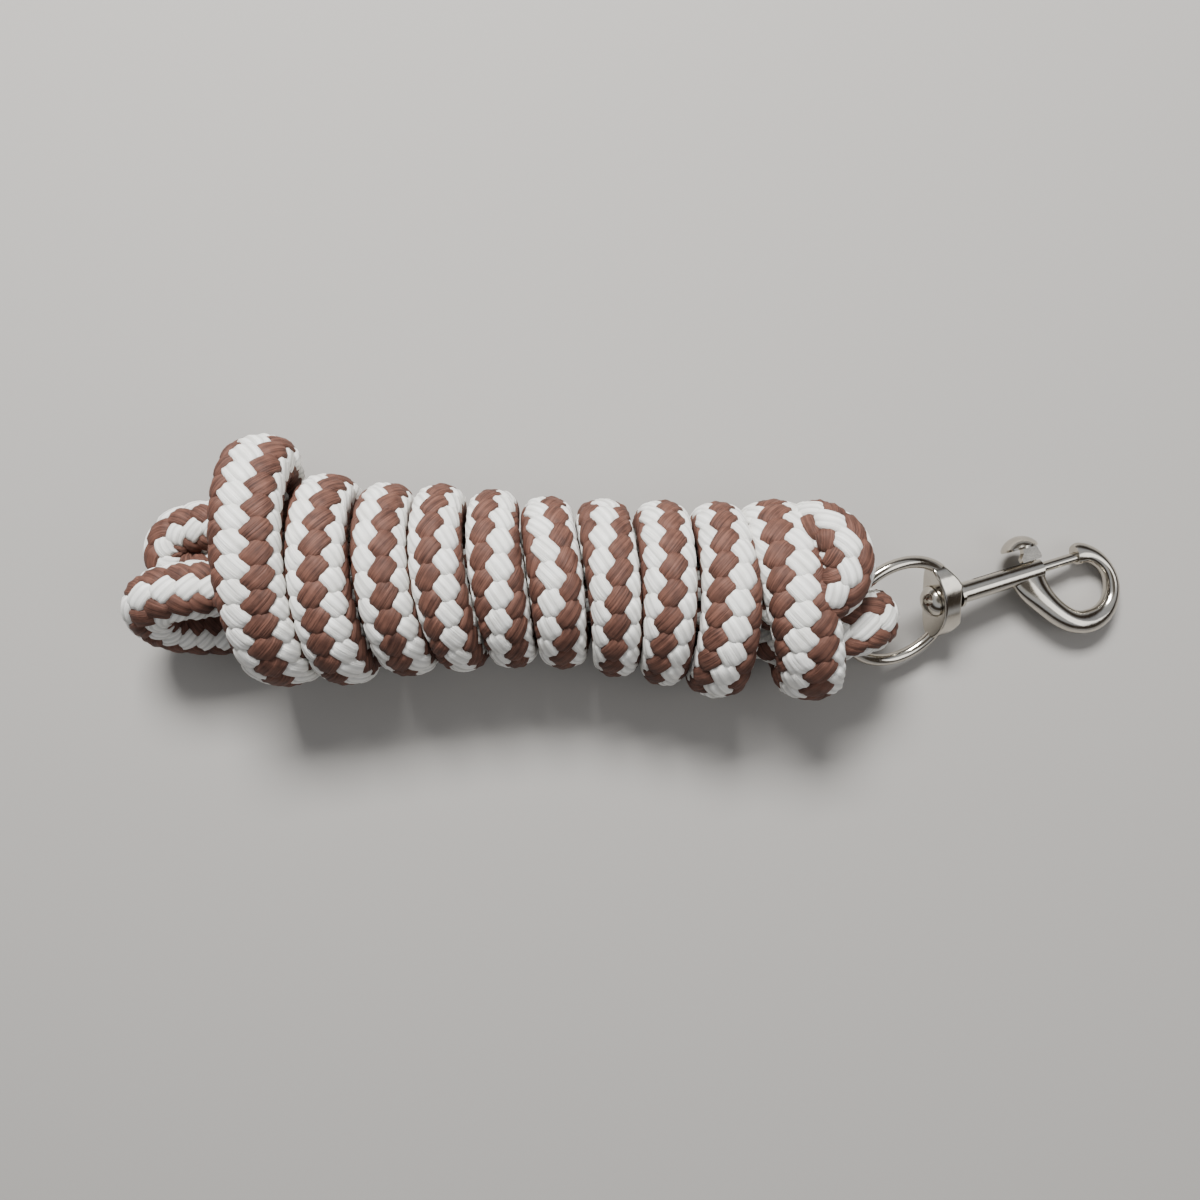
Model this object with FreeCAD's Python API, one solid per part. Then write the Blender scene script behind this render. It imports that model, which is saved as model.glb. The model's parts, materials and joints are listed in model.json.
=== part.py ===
"""Lead rope, wound up in a hank, with a swivel bolt snap on its spliced eye.

Millimetres. +X runs from the folded end of the hank to the snap, +Z is up, and z = 0 is the surface
that the hank lies on. The origin is at the middle of the whole object's footprint.

The snap is drawn in its own frame: u along the swivel axis (u = 0 where the eye's yoke meets the
barrel's flange, positive towards the hook), v across it in the plane of the hook, and w out of that
plane. The swivel eye is drawn in the same frame and then rolled about u.
"""

import FreeCAD, Part
import math
import os

V = FreeCAD.Vector
OUT = "parts"

# ---------------------------------------------------------------- place of the snap
SNAP_AT = V(119.7, -9.7, 15.0)     # the point u = v = w = 0
SNAP_YAW = 16.2                    # degrees, hook end towards +Y
SNAP_DIP = 9.9                     # degrees, hook end down
EYE_ROLL = 34.0                    # degrees, the eye's +v side up

# ---------------------------------------------------------------- swivel eye
RING_WIRE = 4.5                    # diameter
RING_LONG = 48.0                   # outer length, from the yoke's face to the far end
RING_WIDE = 46.0                   # outer width
RING_END_R = 17.0                  # centre-line radius of the oval's two ends
YOKE_LONG = 9.2                    # along u
YOKE_HALF_V = 15.6
YOKE_HALF_W = 8.0
YOKE_FACE_R = 21.0                 # curve of the face towards the barrel
YOKE_DISH_R = 50.0                 # curve of the face towards the ring
YOKE_CROWN_R = 12.0                # curve of the face towards the barrel, seen from the side
YOKE_FILLET = 0.8
SWIVEL_CLEAR = 0.08                # radial, round the rivet's shank
END_PLAY = 0.15                    # along u, at each side of the yoke

# ---------------------------------------------------------------- rivet
SHANK_D = 5.0
RIVET_HEAD_D = 11.6
RIVET_HEAD_H = 4.8
RIVET_RIM_H = 0.9
SHANK_IN_HEAD = 0.5
SHANK_IN_BARREL = 4.0
SPOTFACE_CLEAR = 0.4               # radial, round the rivet's head

# ---------------------------------------------------------------- snap body
BARREL_D = 8.2
BARREL_START = 1.3
BARREL_END = 35.0
FLANGE_D = 10.4
BORE_D = 5.0                       # spring chamber, and the rivet is pressed in its end
GUIDE_START = 32.5                 # the bore narrows here to guide the bolt
GUIDE_CLEAR = 0.06                 # radial, round the bolt
FLAT_START = 2.5
FLAT_V = 3.45                      # the flat ledge along the slotted side
SLOT_W = 2.7
SLOT_START = 8.0
NOTCH_DEPTH = 1.0
NOTCH_CLEAR = 0.15                 # radial, round the bolt's tip

# The hook's centre line: u, v, half width in its plane, half thickness across it.
HOOK = (
    (29.2, 0.2, 6.9, 3.1),
    (30.3, -5.6, 6.3, 3.7),
    (33.5, -12.5, 4.9, 4.0),
    (37.8, -18.6, 4.5, 4.1),
    (43.2, -23.0, 4.4, 4.0),
    (49.4, -24.4, 4.4, 3.8),
    (55.4, -22.9, 3.8, 3.6),
    (60.2, -18.4, 3.0, 3.3),
    (62.2, -13.2, 2.7, 3.2),
    (62.0, -8.5, 2.5, 3.2),
    (59.8, -3.6, 2.8, 3.2),
    (55.8, 0.0, 3.5, 3.1),
    (50.8, 0.9, 3.7, 3.0),
)

# ---------------------------------------------------------------- bolt, spring and thumb knob
BOLT_D = 3.9
BOLT_TIP = 51.5
PISTON_START = 25.0
PISTON_LONG = 2.0
PISTON_D = 4.84
PILOT_LONG = 3.0
PILOT_D = 2.6
BOLT_CHAMFER = 0.5
SPRING_WIRE = 0.6
SPRING_MEAN_R = 2.05
SPRING_TURNS = 10
STEM_U = 33.6                      # the knob's stem stands in the bolt here
STEM_D = 2.4
STEM_DEPTH = 0.9                   # below the bolt's axis
STEM_ABOVE_FLAT = 0.6
ARM_W = 2.4
ARM_FOOT_V = 3.75                  # the arm's underside rides just above the barrel's flat
ARM_IN_CAP = 0.4
CAP_AT = (29.6, 9.1)               # u, v of the middle of the cap's underside
CAP_R = 6.7
CAP_H = 4.9
CAP_RIM_H = 0.9

# The arm's outline between stem and cap: u from the stem (foot) or from the cap's middle (neck), and v
# above the foot or above the cap's underside.
ARM_FOOT = ((-4.9, 1.4), (-4.6, 0.0), (3.0, 0.0), (3.6, 0.9))
ARM_NECK = ((6.2, ARM_IN_CAP), (0.8, ARM_IN_CAP), (0.6, -2.0))

# ---------------------------------------------------------------- rope
ROPE_R = 10.0                      # the rope outside the hank
EYE_ROPE_R = 8.0                   # the same rope, squeezed where it goes round the ring
ARC_SHARE = 0.45                   # of the shorter run beside a corner that its arc takes up
BEYOND = 100.0                     # further than the object reaches from its middle in y and z
CUT_OVER = 1.0                     # how far a cutting shape reaches past what it cuts
FOOT_SINK = 1.5                    # the hank's ovals are cut off this far up, which gives it a flat foot

# The outer shape of the wound hank: x, y of the middle, half width, full height.
HANK = (
    (-145.0, 3.6, 39.5, 51.0),
    (-139.0, 3.4, 43.6, 58.5),
    (-131.0, 2.6, 45.4, 61.5),
    (-120.0, -1.0, 42.6, 60.0),
    (-109.5, -4.2, 38.6, 58.0),
    (-88.0, -4.6, 34.9, 56.0),
    (-68.5, -4.0, 33.9, 55.0),
    (-48.5, -4.2, 32.4, 54.0),
    (-27.0, -5.6, 31.1, 53.5),
    (-6.0, -7.6, 32.2, 54.0),
    (13.0, -9.4, 33.5, 55.0),
    (34.0, -11.8, 35.4, 56.5),
    (54.0, -11.9, 36.4, 57.5),
    (62.0, -12.0, 34.8, 55.0),
    (67.0, -12.2, 31.4, 49.5),
)

# Routes of the rope where it leaves the hank; they start and end behind the hank's flat end faces.
FOLD_UPPER_LAYER = (
    (-140.0, -7.5, 36.5),
    (-163.2, -9.1, 37.5),
    (-172.0, -14.4, 31.0),
    (-172.0, -22.6, 21.2),
    (-163.2, -28.0, 13.8),
    (-140.0, -27.6, 12.4),
)
FOLD_LOWER_LAYER = (
    (-138.5, 18.0, 14.5),
    (-165.2, 17.1, 11.2),
    (-172.0, 10.3, 10.9),
    (-172.0, 0.9, 10.7),
    (-165.2, -5.9, 10.6),
    (-139.0, -6.2, 10.6),
)
END_TURN = (
    (50.0, 17.5, 35.0),
    (62.0, 14.2, 42.5),
    (71.3, 6.4, 47.2),
    (71.3, -5.4, 47.8),
    (62.0, -12.6, 43.9),
    (50.0, -15.5, 37.0),
)
# The eye: the rope goes over the far end of the ring, down through the ring and back below it.
EYE = (
    (54.0, -28.3, 27.3),
    (74.2, -24.0, 35.2),
    (83.2, -21.8, 33.8),
    (88.2, -19.6, 25.8),
    (86.2, -17.6, 16.6),
    (78.5, -17.0, 11.6),
    (58.0, -21.5, 12.0),
)


# ---------------------------------------------------------------- helpers
def snap_place():
    turn = FreeCAD.Rotation(V(0, 0, 1), SNAP_YAW) * FreeCAD.Rotation(V(0, 1, 0), SNAP_DIP)
    return FreeCAD.Placement(SNAP_AT, turn)


def eye_place():
    roll = FreeCAD.Rotation(V(1, 0, 0), EYE_ROLL)
    return snap_place() * FreeCAD.Placement(V(0, 0, 0), roll)


def placed(shape, place):
    copy = shape.copy()
    copy.Placement = place * copy.Placement
    return copy


def rod(diameter, start, end, height=0.0):
    """A cylinder along u."""
    return Part.makeCylinder(diameter / 2, end - start, V(start, height, 0), V(1, 0, 0))


def prism(edges, half):
    """A closed outline in the u-v plane, thickened to both sides along w."""
    face = Part.Face(Part.Wire(edges))
    face.translate(V(0, 0, -half))
    return face.extrude(V(0, 0, 2 * half))


def slab(x_low, x_high, z_low, z_high):
    """A block between two x and two z, wider than the object in y."""
    return Part.makeBox(x_high - x_low, 2 * BEYOND, z_high - z_low, V(x_low, -BEYOND, z_low))


def lines(points):
    pairs = zip(points, points[1:] + points[:1])
    return [Part.LineSegment(a, b).toShape() for a, b in pairs]


def domed_disc(radius, rim, height):
    """A disc on z = 0 with a low rim and a ball-shaped top, about +Z."""
    rise = height - rim
    ball_r = (radius**2 + rise**2) / (2 * rise)
    disc = Part.makeCylinder(radius, height)
    return disc.common(Part.makeSphere(ball_r, V(0, 0, height - ball_r)))


def oval_section(centre, across, up, half_across, half_up):
    """A closed oval wire in the plane of two perpendicular directions."""
    circle = Part.Wire(Part.Circle(V(0, 0, 0), V(0, 0, 1), 1.0).toShape())
    normal = across.cross(up)
    matrix = FreeCAD.Matrix(
        across.x * half_across, up.x * half_up, normal.x, centre.x,
        across.y * half_across, up.y * half_up, normal.y, centre.y,
        across.z * half_across, up.z * half_up, normal.z, centre.z,
        0, 0, 0, 1,
    )
    return circle.transformGeometry(matrix)


def tube(name, route, radius):
    """A round tube along straight runs joined by tangent arcs, each as large as its runs allow."""
    points = [V(*p) for p in route]
    edges = []
    radii = []
    last = points[0]
    for before, corner, after in zip(points, points[1:], points[2:]):
        back = before - corner
        ahead = after - corner
        shorter = min(back.Length, ahead.Length)
        back.normalize()
        ahead.normalize()
        half_turn = (math.pi - back.getAngle(ahead)) / 2
        reach = ARC_SHARE * shorter
        arc_r = reach / math.tan(half_turn)
        radii.append(arc_r)
        start = corner + back * reach
        end = corner + ahead * reach
        inward = (back + ahead).normalize()
        middle = corner + inward * (arc_r / math.cos(half_turn) - arc_r)
        edges.append(Part.LineSegment(last, start).toShape())
        edges.append(Part.Arc(start, middle, end).toShape())
        last = end
    edges.append(Part.LineSegment(last, points[-1]).toShape())
    path = Part.Wire(edges)
    ring = Part.Wire(Part.Circle(points[0], points[1] - points[0], radius).toShape())
    solid = path.makePipeShell([ring], True, False)
    expected = math.pi * radius * radius * path.Length
    print(
        f"{name}: length {path.Length:.1f}, radii {', '.join(f'{r:.1f}' for r in radii)}, "
        f"volume {solid.Volume / expected:.4f} of section times length"
    )
    return solid


# ---------------------------------------------------------------- swivel eye
def ring_wire():
    """A four-arc oval of round wire."""
    half_long = (RING_LONG - RING_WIRE) / 2
    half_wide = (RING_WIDE - RING_WIRE) / 2
    middle = V(-RING_LONG / 2, 0, 0)
    end_offset = half_long - RING_END_R
    side_r = (end_offset**2 + half_wide**2 - RING_END_R**2) / (2 * (half_wide - RING_END_R))
    side_offset = side_r - half_wide
    lean = math.atan2(side_offset, end_offset)
    joint = {}
    for su in (-1, 1):
        for sv in (-1, 1):
            joint[su, sv] = middle + V(
                su * (end_offset + RING_END_R * math.cos(lean)),
                sv * RING_END_R * math.sin(lean),
                0,
            )
    far = middle + V(-half_long, 0, 0)
    near = middle + V(half_long, 0, 0)
    top = middle + V(0, half_wide, 0)
    bottom = middle + V(0, -half_wide, 0)
    arcs = [
        Part.Arc(joint[-1, -1], far, joint[-1, 1]).toShape(),
        Part.Arc(joint[-1, 1], top, joint[1, 1]).toShape(),
        Part.Arc(joint[1, 1], near, joint[1, -1]).toShape(),
        Part.Arc(joint[1, -1], bottom, joint[-1, -1]).toShape(),
    ]
    solid = None
    for arc in arcs:
        start = arc.Vertexes[0].Point
        along = arc.tangentAt(arc.FirstParameter)
        disc = Part.Wire(Part.Circle(start, along, RING_WIRE / 2).toShape())
        piece = Part.Wire(arc).makePipeShell([disc], True, False)
        solid = piece if solid is None else solid.fuse(piece)
    return solid


def yoke():
    """The broad saddle of the eye that the rivet turns in."""
    drop = YOKE_FACE_R - math.sqrt(YOKE_FACE_R**2 - YOKE_HALF_V**2)
    dish = YOKE_DISH_R - math.sqrt(YOKE_DISH_R**2 - YOKE_HALF_V**2)
    front = Part.Arc(V(-drop, YOKE_HALF_V, 0), V(0, 0, 0), V(-drop, -YOKE_HALF_V, 0))
    corner_low = V(-YOKE_LONG - dish, -YOKE_HALF_V, 0)
    corner_high = V(-YOKE_LONG - dish, YOKE_HALF_V, 0)
    back = Part.Arc(corner_low, V(-YOKE_LONG, 0, 0), corner_high)
    plan = prism(
        [
            front.toShape(),
            Part.LineSegment(V(-drop, -YOKE_HALF_V, 0), corner_low).toShape(),
            back.toShape(),
            Part.LineSegment(corner_high, V(-drop, YOKE_HALF_V, 0)).toShape(),
        ],
        YOKE_HALF_W + CUT_OVER,
    )
    front_view = oval_section(V(-YOKE_LONG * 2, 0, 0), V(0, 1, 0), V(0, 0, 1), YOKE_HALF_V, YOKE_HALF_W)
    lens = Part.Face(front_view).extrude(V(YOKE_LONG * 3, 0, 0))
    return plan.common(lens).common(yoke_side_view())


def yoke_side_view():
    """A block across the yoke, crowned towards the barrel."""
    drop = YOKE_CROWN_R - math.sqrt(YOKE_CROWN_R**2 - YOKE_HALF_W**2)
    back = -YOKE_LONG * 2
    edge = YOKE_HALF_V
    high_front = V(-drop, -edge, YOKE_HALF_W)
    low_front = V(-drop, -edge, -YOKE_HALF_W)
    low_back = V(back, -edge, -YOKE_HALF_W)
    high_back = V(back, -edge, YOKE_HALF_W)
    outline = [
        Part.Arc(high_front, V(0, -edge, 0), low_front).toShape(),
        Part.LineSegment(low_front, low_back).toShape(),
        Part.LineSegment(low_back, high_back).toShape(),
        Part.LineSegment(high_back, high_front).toShape(),
    ]
    return Part.Face(Part.Wire(outline)).extrude(V(0, 2 * edge, 0))


def swivel_eye():
    seat = -YOKE_LONG + END_PLAY
    body = yoke()
    body = body.makeFillet(YOKE_FILLET, body.Edges)
    body = ring_wire().fuse(body)
    spotface = rod(RIVET_HEAD_D + 2 * SPOTFACE_CLEAR, seat - RIVET_HEAD_H * 2, seat)
    bore = rod(SHANK_D + 2 * SWIVEL_CLEAR, -YOKE_LONG * 2, CUT_OVER)
    return body.cut(spotface).cut(bore).removeSplitter()


def swivel_rivet():
    head_base = -YOKE_LONG
    head = domed_disc(RIVET_HEAD_D / 2, RIVET_RIM_H, RIVET_HEAD_H)
    head = placed(head, FreeCAD.Placement(V(head_base, 0, 0), FreeCAD.Rotation(V(0, 1, 0), -90)))
    shank = rod(SHANK_D, head_base - SHANK_IN_HEAD, BARREL_START + SHANK_IN_BARREL)
    return head.fuse(shank).removeSplitter()


# ---------------------------------------------------------------- snap body
def hook():
    """The pear-shaped hook, from inside the barrel round to the tip that faces the bolt."""
    sections = []
    for i, (u, v, half_wide, half_thick) in enumerate(HOOK):
        before = HOOK[max(i - 1, 0)]
        after = HOOK[min(i + 1, len(HOOK) - 1)]
        along = V(after[0] - before[0], after[1] - before[1], 0).normalize()
        if i == len(HOOK) - 1:
            along = V(-1, 0, 0)
        across = V(-along.y, along.x, 0)
        sections.append(oval_section(V(u, v, 0), across, V(0, 0, 1), half_wide, half_thick))
    return Part.makeLoft(sections, True, False)


def snap_body():
    flange = rod(FLANGE_D, END_PLAY, BARREL_START)
    barrel = rod(BARREL_D, BARREL_START, BARREL_END)
    flat = Part.makeBox(BARREL_END, BARREL_D, BARREL_D, V(FLAT_START, FLAT_V, -BARREL_D / 2))
    barrel = barrel.cut(flat)
    body = barrel.fuse(hook()).fuse(flange)
    chamber = rod(BORE_D, 0, GUIDE_START)
    guide = rod(BOLT_D + 2 * GUIDE_CLEAR, GUIDE_START, BARREL_END + 2 * CUT_OVER)
    slot_long = BARREL_END - SLOT_START + CUT_OVER
    slot = Part.makeBox(slot_long, BARREL_D, SLOT_W, V(SLOT_START, 0, -SLOT_W / 2))
    notch = rod(BOLT_D + 2 * NOTCH_CLEAR, HOOK[-1][0] - CUT_OVER, HOOK[-1][0] + NOTCH_DEPTH)
    return body.cut(chamber).cut(guide).cut(slot).cut(notch).removeSplitter()


# ---------------------------------------------------------------- bolt, knob and spring
def bolt():
    shaft = rod(BOLT_D, PISTON_START + PISTON_LONG, BOLT_TIP)
    shaft = shaft.makeChamfer(BOLT_CHAMFER, [shaft.Edges[0]])
    piston = rod(PISTON_D, PISTON_START, PISTON_START + PISTON_LONG)
    pilot = rod(PILOT_D, PISTON_START - PILOT_LONG, PISTON_START)
    hole = Part.makeCylinder(STEM_D / 2, BOLT_D, V(STEM_U, -STEM_DEPTH, 0), V(0, 1, 0))
    return shaft.fuse(piston).fuse(pilot).cut(hole).removeSplitter()


def thumb_knob():
    cap_u, cap_v = CAP_AT
    stem_long = FLAT_V + STEM_ABOVE_FLAT + STEM_DEPTH
    stem = Part.makeCylinder(STEM_D / 2, stem_long, V(STEM_U, -STEM_DEPTH, 0), V(0, 1, 0))
    foot = [V(STEM_U + u, ARM_FOOT_V + v, 0) for u, v in ARM_FOOT]
    neck = [V(cap_u + u, cap_v + v, 0) for u, v in ARM_NECK]
    arm = prism(lines(foot + neck), ARM_W / 2)
    cap = domed_disc(CAP_R, CAP_RIM_H, CAP_H)
    cap = placed(cap, FreeCAD.Placement(V(cap_u, cap_v, 0), FreeCAD.Rotation(V(1, 0, 0), -90)))
    return stem.fuse(arm).fuse(cap).removeSplitter()


def bolt_spring():
    start = BARREL_START + SHANK_IN_BARREL + SPRING_WIRE / 2
    end = PISTON_START - SPRING_WIRE / 2
    pitch = (end - start) / SPRING_TURNS
    helix = Part.makeHelix(pitch, end - start, SPRING_MEAN_R)
    wire = Part.Wire(Part.Circle(V(SPRING_MEAN_R, 0, 0), V(0, 1, 0), SPRING_WIRE / 2).toShape())
    coil = Part.Wire(helix.Edges).makePipeShell([wire], True, True)
    along_u = FreeCAD.Placement(V(start, 0, 0), FreeCAD.Rotation(V(0, 1, 0), 90))
    return placed(coil, along_u)


# ---------------------------------------------------------------- rope
def rope_hank():
    """The outer shape of the wraps: lofted ovals with the bottom cut off flat."""
    sections = []
    for x, y, half_wide, height in HANK:
        half_high = (height + FOOT_SINK) / 2
        centre = V(x, y, half_high - FOOT_SINK)
        sections.append(oval_section(centre, V(0, 1, 0), V(0, 0, 1), half_wide, half_high))
    whole = Part.makeLoft(sections, True, False)
    return whole.cut(slab(HANK[0][0] - 1, HANK[-1][0] + 1, -BEYOND, 0))


def rope_tube(name, route, radius=ROPE_R):
    """A stretch of rope outside the hank, ending face to face with the hank's end."""
    inside = slab(HANK[0][0], HANK[-1][0], -BEYOND, BEYOND)
    return tube(name, route, radius).cut(inside)


def main():
    os.makedirs(OUT, exist_ok=True)
    rope_routes = {
        "rope_fold_upper": FOLD_UPPER_LAYER,
        "rope_fold_lower": FOLD_LOWER_LAYER,
        "rope_end_turn": END_TURN,
    }
    nodes = {"rope_hank": rope_hank()}
    for name, route in rope_routes.items():
        nodes[name] = rope_tube(name, route)
    nodes["rope_eye"] = rope_tube("rope_eye", EYE, EYE_ROPE_R)
    nodes["swivel_eye"] = placed(swivel_eye(), eye_place())
    for name, make in (
        ("swivel_rivet", swivel_rivet),
        ("snap_body", snap_body),
        ("bolt", bolt),
        ("thumb_knob", thumb_knob),
        ("bolt_spring", bolt_spring),
    ):
        nodes[name] = placed(make(), snap_place())
    for name, shape in nodes.items():
        if not shape.isValid() or len(shape.Solids) != 1:
            print(f"{name}: valid {shape.isValid()}, solids {len(shape.Solids)}")
        shape.exportStep(os.path.join(OUT, f"{name}.step"))
    whole = Part.makeCompound(list(nodes.values())).optimalBoundingBox(True, False)
    print(
        f"whole: x {whole.XMin:.2f} {whole.XMax:.2f}, y {whole.YMin:.2f} {whole.YMax:.2f}, "
        f"z {whole.ZMin:.2f} {whole.ZMax:.2f}"
    )
    axis = snap_place().Rotation.multVec(V(1, 0, 0))
    bar = eye_place().multVec(V(-RING_LONG + RING_WIRE / 2, 0, 0))
    bar_axis = eye_place().Rotation.multVec(V(0, 1, 0))
    print(f"swivel axis {axis}, ring end {bar}, its direction {bar_axis}")


main()
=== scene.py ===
"""A lead rope wound up in a hank, with a swivel bolt snap on its spliced eye.

The rope is one NURBS route: the core is a tube on it, and 16 yarns are braided round it, two over and
two under. The snap's castings are the CAD parts with plated-metal materials, and its spring is a coil
in place of the CAD spring. Route points and sizes are typed in mm; meshes are in metres, in the CAD frame.
"""

import json
import math

import bpy
import numpy as np
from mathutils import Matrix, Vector
from mathutils.bvhtree import BVHTree


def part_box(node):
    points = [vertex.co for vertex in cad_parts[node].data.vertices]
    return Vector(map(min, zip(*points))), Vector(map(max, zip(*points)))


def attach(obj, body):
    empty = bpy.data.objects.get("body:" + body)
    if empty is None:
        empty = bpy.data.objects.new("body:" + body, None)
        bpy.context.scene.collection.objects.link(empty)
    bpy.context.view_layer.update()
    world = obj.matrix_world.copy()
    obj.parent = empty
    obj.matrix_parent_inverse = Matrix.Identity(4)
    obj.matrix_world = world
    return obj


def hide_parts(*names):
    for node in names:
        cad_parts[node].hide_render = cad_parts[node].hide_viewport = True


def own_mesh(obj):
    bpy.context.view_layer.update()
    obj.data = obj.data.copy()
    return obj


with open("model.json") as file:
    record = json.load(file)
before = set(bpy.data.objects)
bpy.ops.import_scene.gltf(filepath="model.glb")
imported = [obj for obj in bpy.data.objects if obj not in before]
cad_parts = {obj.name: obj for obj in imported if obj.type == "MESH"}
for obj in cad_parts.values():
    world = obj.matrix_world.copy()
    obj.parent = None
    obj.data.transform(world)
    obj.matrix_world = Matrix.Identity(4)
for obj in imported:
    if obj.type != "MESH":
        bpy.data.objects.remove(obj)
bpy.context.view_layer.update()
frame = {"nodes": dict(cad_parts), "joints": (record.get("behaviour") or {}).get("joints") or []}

MM = 0.001

# ---------------------------------------------------------------- camera
CAMERA_OVER = (-11.9, -11.9, 400.0)  # straight above this point of the surface, mm
CAMERA_LENS = 31.24                  # mm on a 36 mm sensor


def make_camera():
    data = bpy.data.cameras.new("camera")
    data.lens = CAMERA_LENS
    data.sensor_width = 36.0
    data.clip_start = 0.01
    camera = bpy.data.objects.new("camera", data)
    camera.location = Vector(CAMERA_OVER) * MM
    bpy.context.scene.collection.objects.link(camera)
    bpy.context.scene.camera = camera


make_camera()

# ---------------------------------------------------------------- the rope's route
THICK = 9.3                          # half thickness in the wraps, from the hank's axis outwards
POINTS_PER_HALF_TURN = 8
ARCH_POWER = 0.92                    # below 1, a wrap's arch is fuller than an ellipse
FLOOR_LEVEL = 9.2                    # centre line of rope that lies on the surface
HANK_WIDEST_Z = 27.0                 # height at which the hank is widest
WIDEST_SHARE = 0.44                  # the same as a share of a wrap's height
RAY_START = 1.0                      # metres from the origin, well outside the hank
WRAP_HALF_WIDE = 10.9                # of a wrap with room on both sides
END_WRAP_HALF_WIDE = 12.5            # of the first and last wraps, which spread out
WRAP_SIZE = 0.93                     # size factor of a wrap in y and z
PRESSED = 1.1                        # how much wider a wrap would be without its neighbours
PRESS_REACH = 0.15                   # how far past its half width a wrap may be pressed against the next
PRESS_HARDNESS = 7                   # the higher, the flatter the sides of a pressed wrap
BRAID_R = 10.15                      # outer radius of the braid at full size
HIDDEN_SIZE = 0.62                   # size factor of the stretches folded inside the hank
FREE = 40.0                          # half width that a stretch without neighbours never reaches
FLOOR_EASE = 1.2                     # half the height below which the rope starts to flatten on the surface
FLOOR_LEAST = 0.35                   # share of that half height which the lowest points tend to
CURVE_STEPS = 12                     # between two route points

# Each stretch is a list of route points in mm, from the snap's end of the rope to its bare end.
EYE = (
    (62.0, -22.0, 15.5),
    (78.5, -17.0, 11.6),
    (86.2, -17.4, 16.6),
    (88.2, -18.6, 25.8),
    (83.2, -20.0, 33.8),
    (74.2, -22.4, 35.2),
    (56.0, -27.0, 27.0),
)
CORE_OUT = (
    (38.0, -19.5, 25.5),
    (10.0, -15.5, 26.5),
    (-30.0, -13.0, 27.0),
    (-75.0, -11.5, 27.5),
    (-115.0, -8.5, 31.0),
)
FOLD_UPPER_LAYER = (
    (-140.0, -7.5, 36.5),
    (-163.2, -9.1, 37.5),
    (-172.0, -13.6, 31.0),
    (-172.0, -18.8, 21.5),
    (-163.2, -22.0, 14.5),
    (-140.0, -21.5, 14.0),
)
CORE_BACK = (
    (-120.0, -20.0, 18.0),
    (-98.0, -3.5, 25.0),
    (-60.0, 1.0, 27.0),
    (-15.0, 0.0, 27.0),
    (22.0, -7.0, 29.0),
)
END_TURN = (
    (50.0, -15.5, 37.0),
    (62.0, -12.6, 43.9),
    (71.3, -5.4, 47.8),
    (71.3, 6.4, 47.2),
    (64.5, 13.0, 41.0),
    (62.5, 14.0, 29.0),
    (62.5, 9.5, 13.5),
    (60.0, -6.0, 9.2),
    (57.0, -25.0, 9.2),
)
# Where each wrap crosses the hank, from the snap's end to the folded end: x at its near edge, on top
# and at its far edge. The hank's own shape gives the wraps' edges in y and their height.
WRAPS = (
    (63, 56, 50),
    (30, 33, 30),
    (11, 12, 10),
    (-6, -7, -11),
    (-25, -27, -31),
    (-43, -47, -50),
    (-61, -67, -69),
    (-80, -86, -88),
    (-102, -107, -109),
    (-124, -130, -131),
)
# Where a brown column of stitches lies on each wrap, in degrees from +X round towards the outside:
# a little after the near edge, on top, and a little before the far edge.
WRAP_PHASES = (
    (175, 130, 95),
    (140, 120, 85),
    (120, 85, 75),
    (105, 80, 40),
    (180, 140, 75),
    (165, 125, 100),
    (130, 110, 85),
    (95, 80, 60),
    (105, 95, 65),
    (90, 60, 50),
)
PHASE_POINTS = (1, 4, 7)             # the points of the half turn where those angles hold
FOLD_LOWER_LAYER = (
    (-132.0, 36.0, 14.0),
    (-130.5, 27.0, 10.5),
    (-138.5, 16.8, 11.6),
    (-164.5, 15.2, 11.0),
    (-172.0, 9.6, 10.9),
    (-172.0, 1.6, 10.7),
    (-164.5, -4.0, 10.6),
    (-139.0, -4.8, 10.6),
)
TAIL = (
    (-124.0, -9.5, 13.0),
    (-108.0, -10.0, 16.0),
)


def half_turn(start, end, level, rise):
    """Points from one edge of the hank to the other, over the top or under; start and end are (x, y)."""
    step = math.pi / POINTS_PER_HALF_TURN
    swell = 1 / math.cos(step / 2)
    points = []
    for i in range(POINTS_PER_HALF_TURN):
        angle = i * step
        along = (1 - math.cos(angle)) / 2
        middle_y = (start[1] + end[1]) / 2
        half_y = (end[1] - start[1]) / 2
        points.append(
            (
                start[0] + (end[0] - start[0]) * along,
                middle_y - half_y * math.cos(angle) * swell,
                level + rise * math.sin(angle) ** ARCH_POWER * swell,
            )
        )
    return points


def hank_edges(x):
    """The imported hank's near edge, far edge and top at this x, in mm."""
    middle_y = (hank_low[1] + hank_high[1]) / 2
    near = hank_tree.ray_cast(Vector((x * MM, -RAY_START, HANK_WIDEST_Z * MM)), Vector((0, 1, 0)))[0]
    far = hank_tree.ray_cast(Vector((x * MM, RAY_START, HANK_WIDEST_Z * MM)), Vector((0, -1, 0)))[0]
    top = hank_tree.ray_cast(Vector((x * MM, middle_y, RAY_START)), Vector((0, 0, -1)))[0]
    return near.y / MM, far.y / MM, top.z / MM


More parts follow.
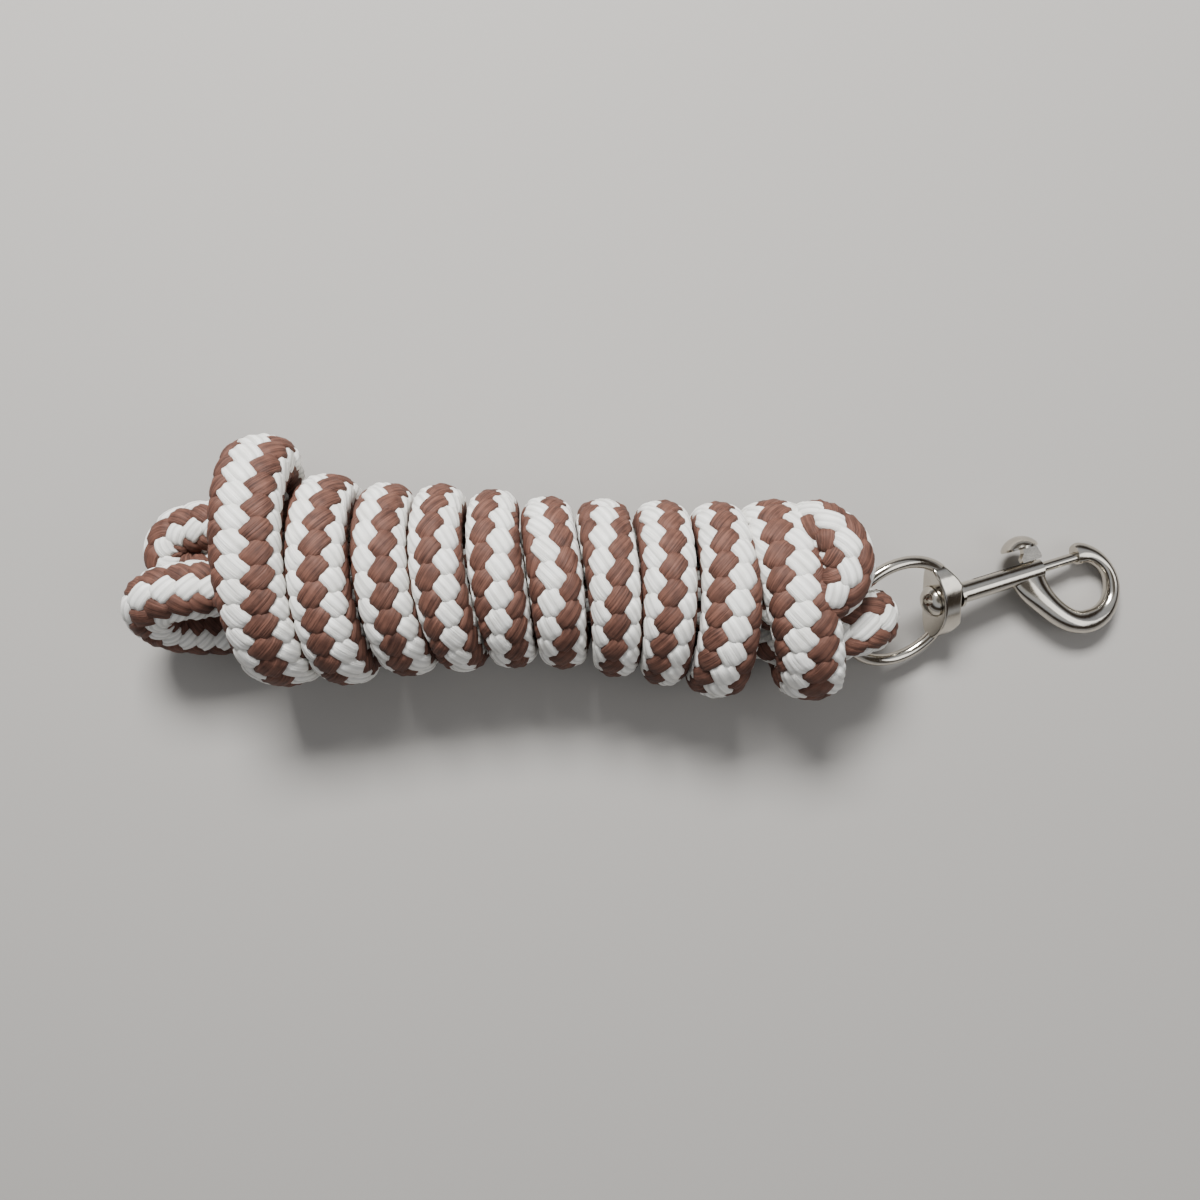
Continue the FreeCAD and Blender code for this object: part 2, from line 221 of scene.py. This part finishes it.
def turn_points(i):
    """One turn of the winding: over the hank, then under it to the next wrap."""
    near_x, top_x, far_x = WRAPS[i]
    near_y, far_y, height = hank_edges(top_x)
    near = (near_x, near_y + THICK)
    far = (far_x, far_y - THICK)
    level = height * WIDEST_SHARE
    lean = top_x - (near_x + far_x) / 2
    over = [
        (x + lean * math.sin(j * math.pi / POINTS_PER_HALF_TURN) ** 2, y, z)
        for j, (x, y, z) in enumerate(half_turn(near, far, level, height - THICK - level))
    ]
    if i + 1 == len(WRAPS):
        return over + [(far[0], far[1], level)]
    next_near = (WRAPS[i + 1][0], hank_edges(WRAPS[i + 1][1])[0] + THICK)
    return over + half_turn(far, next_near, level, FLOOR_LEVEL - level)


def wrap_half_wide(turns, i, j):
    """A wrap is as wide at each point as the wraps beside it leave it."""
    if i in (0, len(turns) - 1) or j >= len(turns[i + 1]):
        return END_WRAP_HALF_WIDE
    return min(abs(turns[i + 1][j][0] - turns[i - 1][j][0]) / 4, WRAP_HALF_WIDE)


def wrap_points():
    """All the turns of the winding, the sizes at their points, and each turn's first point."""
    turns = [turn_points(i) for i in range(len(WRAPS))]
    points = []
    sizes = []
    starts = []
    for i, turn in enumerate(turns):
        starts.append(len(points))
        points += turn
        for j in range(len(turn)):
            half_wide = wrap_half_wide(turns, i, j)
            along_x = half_wide * PRESSED / BRAID_R
            sizes.append((along_x, WRAP_SIZE, WRAP_SIZE, half_wide + PRESS_REACH))
    return points, sizes, starts


def plain(stretch, along_x, along_y, along_z):
    """A stretch that no neighbour presses flat, with its size factors along the three axes."""
    return stretch, [(along_x, along_y, along_z, FREE)] * len(stretch)


def hidden(stretch):
    """A stretch folded inside the hank, where it is squeezed thin."""
    return plain(stretch, HIDDEN_SIZE, HIDDEN_SIZE, HIDDEN_SIZE)


hank_low, hank_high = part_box("rope_hank")
hank_mesh = frame["nodes"]["rope_hank"].data
hank_tree = BVHTree.FromPolygons(
    [v.co for v in hank_mesh.vertices],
    [p.vertices for p in hank_mesh.polygons],
)

winding, winding_sizes, winding_starts = wrap_points()

# Each stretch with, at each point, its size factors along the three axes and its greatest half width in x.
STRETCHES = (
    plain(EYE, 0.80, 1.02, 0.80),
    hidden(CORE_OUT),
    plain(FOLD_UPPER_LAYER, 1.0, 1.02, 1.0),
    hidden(CORE_BACK),
    plain(END_TURN, 0.97, 0.97, 0.97),
    (winding, winding_sizes),
    plain(FOLD_LOWER_LAYER, 0.98, 0.98, 0.98),
    hidden(TAIL),
)


def rope_route():
    """The whole route, the sizes at its points, and the index where each stretch starts."""
    points = []
    sizes = []
    starts = []
    for stretch, stretch_sizes in STRETCHES:
        starts.append(len(points))
        points += list(stretch)
        sizes += stretch_sizes
    return points, sizes, starts


route, route_sizes, stretch_starts = rope_route()


def make_route_curve(name, points, radii):
    """One NURBS spline through the route, with a size at each point."""
    curve = bpy.data.curves.new(name, "CURVE")
    curve.dimensions = "3D"
    spline = curve.splines.new("NURBS")
    spline.points.add(len(points) - 1)
    for point, place, radius in zip(spline.points, points, radii):
        point.co = (*(c * MM for c in place), 1.0)
        point.radius = radius
    spline.order_u = 3
    spline.use_endpoint_u = True
    curve.resolution_u = CURVE_STEPS
    piece = bpy.data.objects.new(name, curve)
    bpy.context.scene.collection.objects.link(piece)
    return piece


CORE_R = 7.3                         # the filler yarns inside the braid
CORE_ROUNDNESS = 5                   # bevel steps
core = make_route_curve("rope_core", route, [min(s[:3]) for s in route_sizes])


def spline_points(piece):
    """The points of the piece's own spline, read before it has a bevel."""
    bpy.context.view_layer.update()
    depsgraph = bpy.context.evaluated_depsgraph_get()
    mesh = bpy.data.meshes.new_from_object(piece.evaluated_get(depsgraph), depsgraph=depsgraph)
    line = np.array([v.co for v in mesh.vertices], float)
    bpy.data.meshes.remove(mesh)
    return line


line = spline_points(core)
core.data.bevel_depth = CORE_R * MM
core.data.bevel_resolution = CORE_ROUNDNESS
core.data.use_fill_caps = True

# ---------------------------------------------------------------- the braid
YARNS_EACH_WAY = 8
LEAD = 57.0                          # length of rope in which a yarn goes once round it
RING_STEP = 1.05                     # length of rope between two sections of a yarn
SECTION_POINTS = 20
YARN_MIDDLE_R = 7.1                  # mean radius of the yarns' centre lines
YARN_WAVE = 1.35                     # how far they go out and in from it
WAVE_SHARPNESS = 2.4
YARN_SKEW = -0.05                    # radians; below zero, a stitch on the outside runs more along the rope
YARN_WIDE = (5.1, 6.5)               # under, over
YARN_THICK = (2.2, 3.9)
SECTION_POWERS = (0.8, 0.85)         # sideways, outwards; below 1, the section is squarer than an ellipse
PLIES = 3
PLY_GROOVE = 0.30                    # share of the thickness that the grooves between plies take
PATTERN_TURN = 90.0                  # the braid's pattern repeats at this angle round the rope
COLUMN_ANGLE = 11.25                 # of the first brown column, in the frame across the rope
EXPECTED_TURN = 15.0                 # the pattern's drift from mark to mark, degrees
CROSSINGS_PER_WAVE = 4               # two over, two under
NO_GAP = 1e-9                        # metres; closer points of the route count as one


def unit(vectors):
    return vectors / np.maximum(np.linalg.norm(vectors, axis=-1, keepdims=True), 1e-12)


class Rope:
    """The route at even steps, with a frame across it at each step."""

    def __init__(self, line, sizes, marks):
        gaps = np.linalg.norm(np.diff(line, axis=0), axis=1)
        keep = np.concatenate([[True], gaps > NO_GAP])
        line = line[keep]
        along = np.concatenate([[0], np.cumsum(np.linalg.norm(np.diff(line, axis=0), axis=1))])
        self.length = along[-1]
        self.at = np.linspace(0, self.length, int(self.length / (RING_STEP * MM)) + 1)
        self.middle = self.column_interp(along, line)
        self.tangent = unit(np.gradient(self.middle, axis=0))
        point_number = np.linspace(0, len(sizes) - 1, len(along))
        numbers = np.interp(self.at, along, point_number)
        self.size = np.stack(
            [np.interp(numbers, range(len(sizes)), [s[i] for s in sizes]) for i in range(4)], axis=1
        )
        self.first, self.second = self.carried_frame()
        self.turn_to_marks(marks, numbers)

    def column_interp(self, along, table):
        return np.stack([np.interp(self.at, along, table[:, i]) for i in range(3)], axis=1)

    def carried_frame(self):
        """A frame carried along the rope without twisting about it."""
        first = np.zeros_like(self.middle)
        seed = np.array([0.0, 0.0, 1.0])
        for i, tangent in enumerate(self.tangent):
            seed = seed - tangent * seed.dot(tangent)
            seed /= np.linalg.norm(seed)
            first[i] = seed
        return first, np.cross(self.tangent, first)

    def turn_to_marks(self, marks, numbers):
        """Twists the frame so that the pattern lies at each mark as the mark says.

        Of the twists that look the same, it takes the nearest to EXPECTED_TURN more than the mark before.
        """
        steps = []
        turns = []
        for number, reference, degrees in marks:
            step = int(np.argmin(np.abs(numbers - number)))
            reference = np.array(reference, float)
            angle = math.atan2(reference.dot(self.second[step]), reference.dot(self.first[step]))
            wanted = math.degrees(angle) - degrees - COLUMN_ANGLE
            if turns:
                wanted += PATTERN_TURN * round((turns[-1] + EXPECTED_TURN - wanted) / PATTERN_TURN)
            steps.append(self.at[step])
            turns.append(wanted)
        twist = np.radians(np.interp(self.at, steps, turns))[:, None]
        first = self.first * np.cos(twist) + self.second * np.sin(twist)
        self.second = self.second * np.cos(twist) - self.first * np.sin(twist)
        self.first = first

    def places(self, along, angle, radius):
        """Points at a length along the rope, an angle round it and a distance from its middle."""

        def at(table):
            return np.stack([np.interp(along, self.at, table[:, i]) for i in range(table.shape[1])], axis=-1)

        middle, first, second, size = (at(t) for t in (self.middle, self.first, self.second, self.size))
        first = unit(first)
        second = unit(second)
        out = first * np.cos(angle)[..., None] + second * np.sin(angle)[..., None]
        offset = out * radius[..., None] * size[..., :3]
        offset[..., 0] = pressed(offset[..., 0], size[..., 3] * MM)
        points = middle + offset
        points[..., 2] = soft_floor(points[..., 2])
        return points


def pressed(offset, limit):
    """Flattens a wrap's side against its neighbour, softly."""
    return offset / (1 + np.abs(offset / limit) ** PRESS_HARDNESS) ** (1 / PRESS_HARDNESS)


def soft_floor(height):
    """Keeps the rope on the surface, flattened where it lies on it."""
    ease = FLOOR_EASE * MM
    start = 2 * ease
    least = ease * FLOOR_LEAST
    flattened = least + (start - least) * np.exp((height - start) / start)
    return np.where(height > start, height, flattened)


def yarn_section():
    """The outline of a yarn's section, sideways and outwards, with grooves between its plies."""
    section = 2 * math.pi * np.arange(SECTION_POINTS) / SECTION_POINTS
    sideways = np.sign(np.cos(section)) * np.abs(np.cos(section)) ** SECTION_POWERS[0]
    outwards = np.sign(np.sin(section)) * np.abs(np.sin(section)) ** SECTION_POWERS[1]
    lobes = np.abs(np.sin(PLIES * math.pi * (sideways + 1) / 2))
    return sideways, outwards * (1 - PLY_GROOVE + PLY_GROOVE * lobes)


def yarn_points(rope, hand, number):
    """Ring by ring, the surface of one yarn. hand is +1 for the brown ones and -1 for the cream ones."""
    rings = len(rope.at)
    pace = 2 * math.pi / (LEAD * MM)
    angle = hand * pace * rope.at + 2 * math.pi * number / YARNS_EACH_WAY
    crossing = angle * YARNS_EACH_WAY / math.pi
    phase = 2 * math.pi * (crossing - 0.5) / CROSSINGS_PER_WAVE
    wave = hand * np.cos(phase)
    lift = np.tanh(WAVE_SHARPNESS * wave) / math.tanh(WAVE_SHARPNESS)
    share = (lift + 1) / 2
    angle = angle + hand * YARN_SKEW * np.sin(phase)
    radius = (YARN_MIDDLE_R + YARN_WAVE * lift) * MM
    wide = (YARN_WIDE[0] + (YARN_WIDE[1] - YARN_WIDE[0]) * share) * MM / 2
    thick = (YARN_THICK[0] + (YARN_THICK[1] - YARN_THICK[0]) * share) * MM / 2
    sideways, outwards = yarn_section()
    waves_per_turn = 2 * YARNS_EACH_WAY / CROSSINGS_PER_WAVE
    slope = np.arctan(YARN_MIDDLE_R * MM * pace * (1 + waves_per_turn * YARN_SKEW * wave))
    side = wide[:, None] * sideways[None, :]
    out = thick[:, None] * outwards[None, :]
    along = rope.at[:, None] - hand * side * np.sin(slope)[:, None]
    around = angle[:, None] + side * np.cos(slope)[:, None] / (YARN_MIDDLE_R * MM)
    return rope.places(along, around, radius[:, None] + out).reshape(rings * SECTION_POINTS, 3)


def tube_mesh(name, points, rings, spacing):
    """A closed tube through rings of points, with a UV map: metres along it, and the share round it."""
    m = SECTION_POINTS
    mesh = bpy.data.meshes.new(name)
    ring, corner = np.meshgrid(np.arange(rings - 1), np.arange(m), indexing="ij")
    ring = ring.ravel()
    corner = corner.ravel()
    after = (corner + 1) % m
    here = ring * m
    ahead = (ring + 1) * m
    quads = np.stack([here + corner, here + after, ahead + after, ahead + corner], axis=1)
    caps = [np.arange(m)[::-1], (rings - 1) * m + np.arange(m)]
    loops = np.concatenate([quads.ravel(), *caps])
    starts = np.concatenate([np.arange(len(quads)) * 4, [quads.size, quads.size + m]])
    mesh.vertices.add(len(points))
    mesh.vertices.foreach_set("co", points.astype(np.float32).ravel())
    mesh.loops.add(len(loops))
    mesh.loops.foreach_set("vertex_index", loops.astype(np.int32))
    mesh.polygons.add(len(starts))
    mesh.polygons.foreach_set("loop_start", starts.astype(np.int32))
    mesh.update(calc_edges=True)
    mesh.validate()
    u = np.stack([ring, ring, ring + 1, ring + 1], axis=1) * spacing
    v = np.stack([corner, corner + 1, corner + 1, corner], axis=1) / m
    uv = np.stack([u.ravel(), v.ravel()], axis=1)
    uv = np.concatenate([uv, np.zeros((2 * m, 2))])
    layer = mesh.uv_layers.new(name="lay")
    layer.data.foreach_set("uv", uv.astype(np.float32).ravel())
    mesh.polygons.foreach_set("use_smooth", np.ones(len(starts), bool))
    return mesh


# ---------------------------------------------------------------- materials
def new_material(name):
    material = bpy.data.materials.new(name)
    material.use_nodes = True
    tree = material.node_tree
    return material, tree, tree.nodes["Principled BSDF"]


def node(tree, kind, **values):
    made = tree.nodes.new(kind)
    for key, value in values.items():
        if key in made.inputs:
            made.inputs[key].default_value = value
        else:
            setattr(made, key, value)
    return made


def colour_ramp(tree, stops):
    ramp = tree.nodes.new("ShaderNodeValToRGB")
    elements = ramp.color_ramp.elements
    for i, (place, colour) in enumerate(stops):
        element = elements[i] if i < len(elements) else elements.new(place)
        element.position = place
        element.color = (*colour, 1.0)
    return ramp


FIBRE_SCALE = (110.0, 60.0, 1.0)     # of the fibres' noise, along the yarn and round it
PATCH_SCALE = 210.0                  # of the lighter and darker patches
PATCH_SHARE = 0.35                   # of the patches in the mix with the fibres
# How light a yarn is painted round its section, which starts at one edge: painted shade at the edges,
# between plies and on the inner side.
YARN_PAINTED_SHADE = (
    (0.00, 0.16),
    (0.055, 0.80),
    (0.18, 1.00),
    (0.209, 0.66),
    (0.24, 1.00),
    (0.26, 1.00),
    (0.291, 0.66),
    (0.32, 1.00),
    (0.445, 0.80),
    (0.50, 0.16),
    (0.56, 0.60),
    (0.94, 0.60),
)


def yarn_material(name, dark, light):
    """Flat multifilament yarn: fine fibres along it, slightly lighter and darker in patches, with painted
    shade at its edges, between its plies and on its inner side.
    """
    material, tree, shader = new_material(name)
    link = tree.links.new
    uv = node(tree, "ShaderNodeUVMap", uv_map="lay")
    stretch = node(tree, "ShaderNodeMapping")
    stretch.inputs["Scale"].default_value = FIBRE_SCALE
    link(uv.outputs["UV"], stretch.inputs["Vector"])
    fibres = node(tree, "ShaderNodeTexNoise", Scale=1.0, Detail=3.0, Roughness=0.62)
    link(stretch.outputs["Vector"], fibres.inputs["Vector"])
    place = node(tree, "ShaderNodeTexCoord")
    patches = node(tree, "ShaderNodeTexNoise", Scale=PATCH_SCALE, Detail=2.0)
    link(place.outputs["Object"], patches.inputs["Vector"])
    mixed = node(tree, "ShaderNodeMix", data_type="FLOAT")
    mixed.inputs[0].default_value = PATCH_SHARE
    link(fibres.outputs["Fac"], mixed.inputs[2])
    link(patches.outputs["Fac"], mixed.inputs[3])
    ramp = colour_ramp(tree, ((0.36, dark), (0.60, light)))
    link(mixed.outputs[0], ramp.inputs["Fac"])
    split = node(tree, "ShaderNodeSeparateXYZ")
    link(uv.outputs["UV"], split.inputs["Vector"])
    # Painted shade across the yarn's section, multiplied into its colour.
    shade = colour_ramp(tree, [(share, (level, level, level)) for share, level in YARN_PAINTED_SHADE])
    link(split.outputs["Y"], shade.inputs["Fac"])
    shaded = node(tree, "ShaderNodeMix", data_type="RGBA", blend_type="MULTIPLY")
    shaded.inputs[0].default_value = 1.0
    link(ramp.outputs["Color"], shaded.inputs[6])
    link(shade.outputs["Color"], shaded.inputs[7])
    link(shaded.outputs[2], shader.inputs["Base Color"])
    bump = node(tree, "ShaderNodeBump", Strength=0.8, Distance=0.0006)
    link(fibres.outputs["Fac"], bump.inputs["Height"])
    link(bump.outputs["Normal"], shader.inputs["Normal"])
    shader.inputs["Roughness"].default_value = 0.62
    shader.inputs["Specular IOR Level"].default_value = 0.25
    return material


def core_material():
    """The filler yarns inside the braid, coloured dark brown as painted shadow in the gaps between the outer
    ones.
    """
    material, tree, shader = new_material("filler_yarn")
    place = node(tree, "ShaderNodeTexCoord")
    noise = node(tree, "ShaderNodeTexNoise", Scale=900.0, Detail=3.0)
    tree.links.new(place.outputs["Object"], noise.inputs["Vector"])
    # Dark brown: painted shadow for the gaps between the outer yarns.
    ramp = colour_ramp(tree, ((0.35, (0.03, 0.014, 0.01)), (0.7, (0.10, 0.05, 0.035))))
    tree.links.new(noise.outputs["Fac"], ramp.inputs["Fac"])
    tree.links.new(ramp.outputs["Color"], shader.inputs["Base Color"])
    shader.inputs["Roughness"].default_value = 0.9
    return material


BROWN = ((0.050, 0.021, 0.015), (0.175, 0.078, 0.054))
CREAM = ((0.76, 0.74, 0.68), (0.94, 0.93, 0.89))
brown_yarn = yarn_material("brown_yarn", *BROWN)
cream_yarn = yarn_material("cream_yarn", *CREAM)
core.data.materials.append(core_material())


# ---------------------------------------------------------------- the yarns
def pattern_marks():
    """Where a brown column lies: point number of the route, a direction, and degrees from it."""
    eye, _, upper_fold, _, end_turn, winding_start, lower_fold, _ = stretch_starts
    marks = [
        (eye + 4, (0, 1, 0), 135),
        (upper_fold + 1, (0, 1, 0), 135),
        (end_turn + 2, (1, 0, 0), 135),
    ]
    for start, phases in zip(winding_starts, WRAP_PHASES):
        for point, degrees in zip(PHASE_POINTS, phases):
            marks.append((winding_start + start + point, (1, 0, 0), degrees))
    marks.append((lower_fold + 3, (0, 1, 0), 55))
    return marks


rope = Rope(line, route_sizes, pattern_marks())
for hand, colour, material in ((1, "brown", brown_yarn), (-1, "cream", cream_yarn)):
    for number in range(YARNS_EACH_WAY):
        name = f"{colour}_yarn_{number + 1}"
        points = yarn_points(rope, hand, number)
        mesh = tube_mesh(name, points, len(rope.at), RING_STEP * MM)
        mesh.materials.append(material)
        yarn = bpy.data.objects.new(name, mesh)
        bpy.context.scene.collection.objects.link(yarn)
        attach(yarn, "rope")

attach(core, "rope")
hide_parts("rope_hank", "rope_fold_upper", "rope_fold_lower", "rope_end_turn", "rope_eye")
print(f"rope length {rope.length:.3f} m, rings {len(rope.at)}")


# ---------------------------------------------------------------- the snap
SHARP_EDGE = 32.0                    # degrees
POLISH_SPREAD = (0.7, 1.5)           # the roughness varies between these shares of its value
TARNISH = 0.86                       # brightness of the duller patches


def plated_metal(name, colour, roughness):
    """Nickel plate over a casting: bright, slightly warm, with faint uneven polish."""
    material, tree, shader = new_material(name)
    link = tree.links.new
    place = node(tree, "ShaderNodeTexCoord")
    cloud = node(tree, "ShaderNodeTexNoise", Scale=260.0, Detail=4.0, Roughness=0.6)
    link(place.outputs["Object"], cloud.inputs["Vector"])
    rough = node(tree, "ShaderNodeMapRange")
    rough.inputs["To Min"].default_value = roughness * POLISH_SPREAD[0]
    rough.inputs["To Max"].default_value = roughness * POLISH_SPREAD[1]
    link(cloud.outputs["Fac"], rough.inputs["Value"])
    link(rough.outputs["Result"], shader.inputs["Roughness"])
    ramp = colour_ramp(tree, ((0.3, tuple(c * TARNISH for c in colour)), (0.7, colour)))
    link(cloud.outputs["Fac"], ramp.inputs["Fac"])
    link(ramp.outputs["Color"], shader.inputs["Base Color"])
    bump = node(tree, "ShaderNodeBump", Strength=0.05, Distance=0.0004)
    link(cloud.outputs["Fac"], bump.inputs["Height"])
    link(bump.outputs["Normal"], shader.inputs["Normal"])
    shader.inputs["Metallic"].default_value = 1.0
    return material


def smooth_round_faces(mesh):
    """Shades a casting smooth, and keeps the edges that are sharper than SHARP_EDGE."""
    mesh.polygons.foreach_set("use_smooth", np.ones(len(mesh.polygons), bool))
    mesh.set_sharp_from_angle(angle=math.radians(SHARP_EDGE))


nickel = plated_metal("nickel_plate", (0.60, 0.56, 0.49), 0.13)
spring_steel = plated_metal("spring_steel", (0.5, 0.5, 0.52), 0.3)
for name in ("swivel_eye", "swivel_rivet", "snap_body", "bolt", "thumb_knob"):
    part = frame["nodes"][name]
    part.data.materials.clear()
    part.data.materials.append(nickel)
    smooth_round_faces(part.data)

# ---------------------------------------------------------------- the bolt's spring
SPRING_TURNS = 10
SPRING_WIRE = 0.6                    # diameter
SPRING_MEAN_R = 2.05
RINGS_PER_TURN = 24


def joint(name):
    """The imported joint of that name."""
    return next(j for j in frame["joints"] if j["name"] == name)


def spring_points(origin, ahead, start, end, rings):
    """Ring by ring, the surface of a wire coiled along the bolt's axis from start to end."""
    across = unit(np.cross(ahead, (0, 0, 1)))
    up = np.cross(ahead, across)
    wire_r = SPRING_WIRE * MM / 2
    share = np.linspace(0, 1, rings)[:, None, None]
    turn = 2 * math.pi * SPRING_TURNS * share
    section = 2 * math.pi * np.arange(SECTION_POINTS)[None, :, None] / SECTION_POINTS
    out = across * np.cos(turn) + up * np.sin(turn)
    along = start + wire_r + (end - start - 2 * wire_r) * share + wire_r * np.sin(section)
    points = origin + ahead * along + out * (SPRING_MEAN_R * MM + wire_r * np.cos(section))
    return points.reshape(-1, 3)


def make_spring():
    """The compression spring behind the bolt, a coil over the length of the CAD spring, which it replaces.
    """
    swivel = joint("swivel")
    origin = np.array(swivel["pos_m"])
    ahead = -unit(np.array(swivel["axis"]))
    solid = np.array([v.co for v in frame["nodes"]["bolt_spring"].data.vertices]) - origin
    start = (solid @ ahead).min()
    end = (solid @ ahead).max()
    rings = SPRING_TURNS * RINGS_PER_TURN + 1
    points = spring_points(origin, ahead, start, end, rings)
    mesh = tube_mesh("coiled_spring", points, rings, SPRING_WIRE * MM / 2)
    mesh.materials.append(spring_steel)
    spring = bpy.data.objects.new("coiled_spring", mesh)
    bpy.context.scene.collection.objects.link(spring)
    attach(spring, "snap")
    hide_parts("bolt_spring")
    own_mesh(spring)


make_spring()


# ---------------------------------------------------------------- floor and light
FLOOR_HALF = 0.9                     # metres
FLOOR_COLOUR = (0.34, 0.325, 0.305, 1.0)
# Name, place and size in metres, and watts.
LIGHTS = (
    ("key", (-0.15, 0.75, 0.85), (0.5, 0.3), 33.0),
    ("fill", (0.7, -0.2, 0.8), (0.6, 0.6), 2.5),
)
WORLD_STRENGTH = 0.62
WORLD_BANDS = (
    (0.00, (0.30, 0.27, 0.23)),
    (0.10, (0.85, 0.88, 0.95)),
    (0.26, (0.10, 0.08, 0.06)),
    (0.52, (0.06, 0.045, 0.035)),
    (0.66, (0.80, 0.85, 0.95)),
    (0.88, (0.95, 0.97, 1.00)),
    (0.95, (0.22, 0.20, 0.18)),
)


def make_floor():
    half = FLOOR_HALF
    mesh = bpy.data.meshes.new("floor")
    corners = [(-half, -half, 0), (half, -half, 0), (half, half, 0), (-half, half, 0)]
    mesh.from_pydata(corners, [], [(0, 1, 2, 3)])
    floor = bpy.data.objects.new("floor", mesh)
    bpy.context.scene.collection.objects.link(floor)
    material, tree, shader = new_material("floor")
    shader.inputs["Base Color"].default_value = FLOOR_COLOUR
    shader.inputs["Roughness"].default_value = 0.9
    floor.data.materials.append(material)


def make_light(name, place, size, watts):
    data = bpy.data.lights.new(name, "AREA")
    data.shape = "RECTANGLE"
    data.size, data.size_y = size
    data.energy = watts
    light = bpy.data.objects.new(name, data)
    light.location = place
    light.rotation_euler = (-Vector(place)).to_track_quat("-Z", "Y").to_euler()
    bpy.context.scene.collection.objects.link(light)


def make_world():
    """Bright overhead and at the horizon, dark between them, which gives the plated metal its contrast."""
    world = bpy.data.worlds.new("studio")
    world.use_nodes = True
    tree = world.node_tree
    direction = node(tree, "ShaderNodeTexCoord")
    split = node(tree, "ShaderNodeSeparateXYZ")
    tree.links.new(direction.outputs["Generated"], split.inputs["Vector"])
    ramp = colour_ramp(tree, WORLD_BANDS)
    tree.links.new(split.outputs["Z"], ramp.inputs["Fac"])
    background = tree.nodes["Background"]
    tree.links.new(ramp.outputs["Color"], background.inputs["Color"])
    background.inputs["Strength"].default_value = WORLD_STRENGTH
    bpy.context.scene.world = world


make_floor()
make_world()
for name, place, size, watts in LIGHTS:
    make_light(name, place, size, watts)
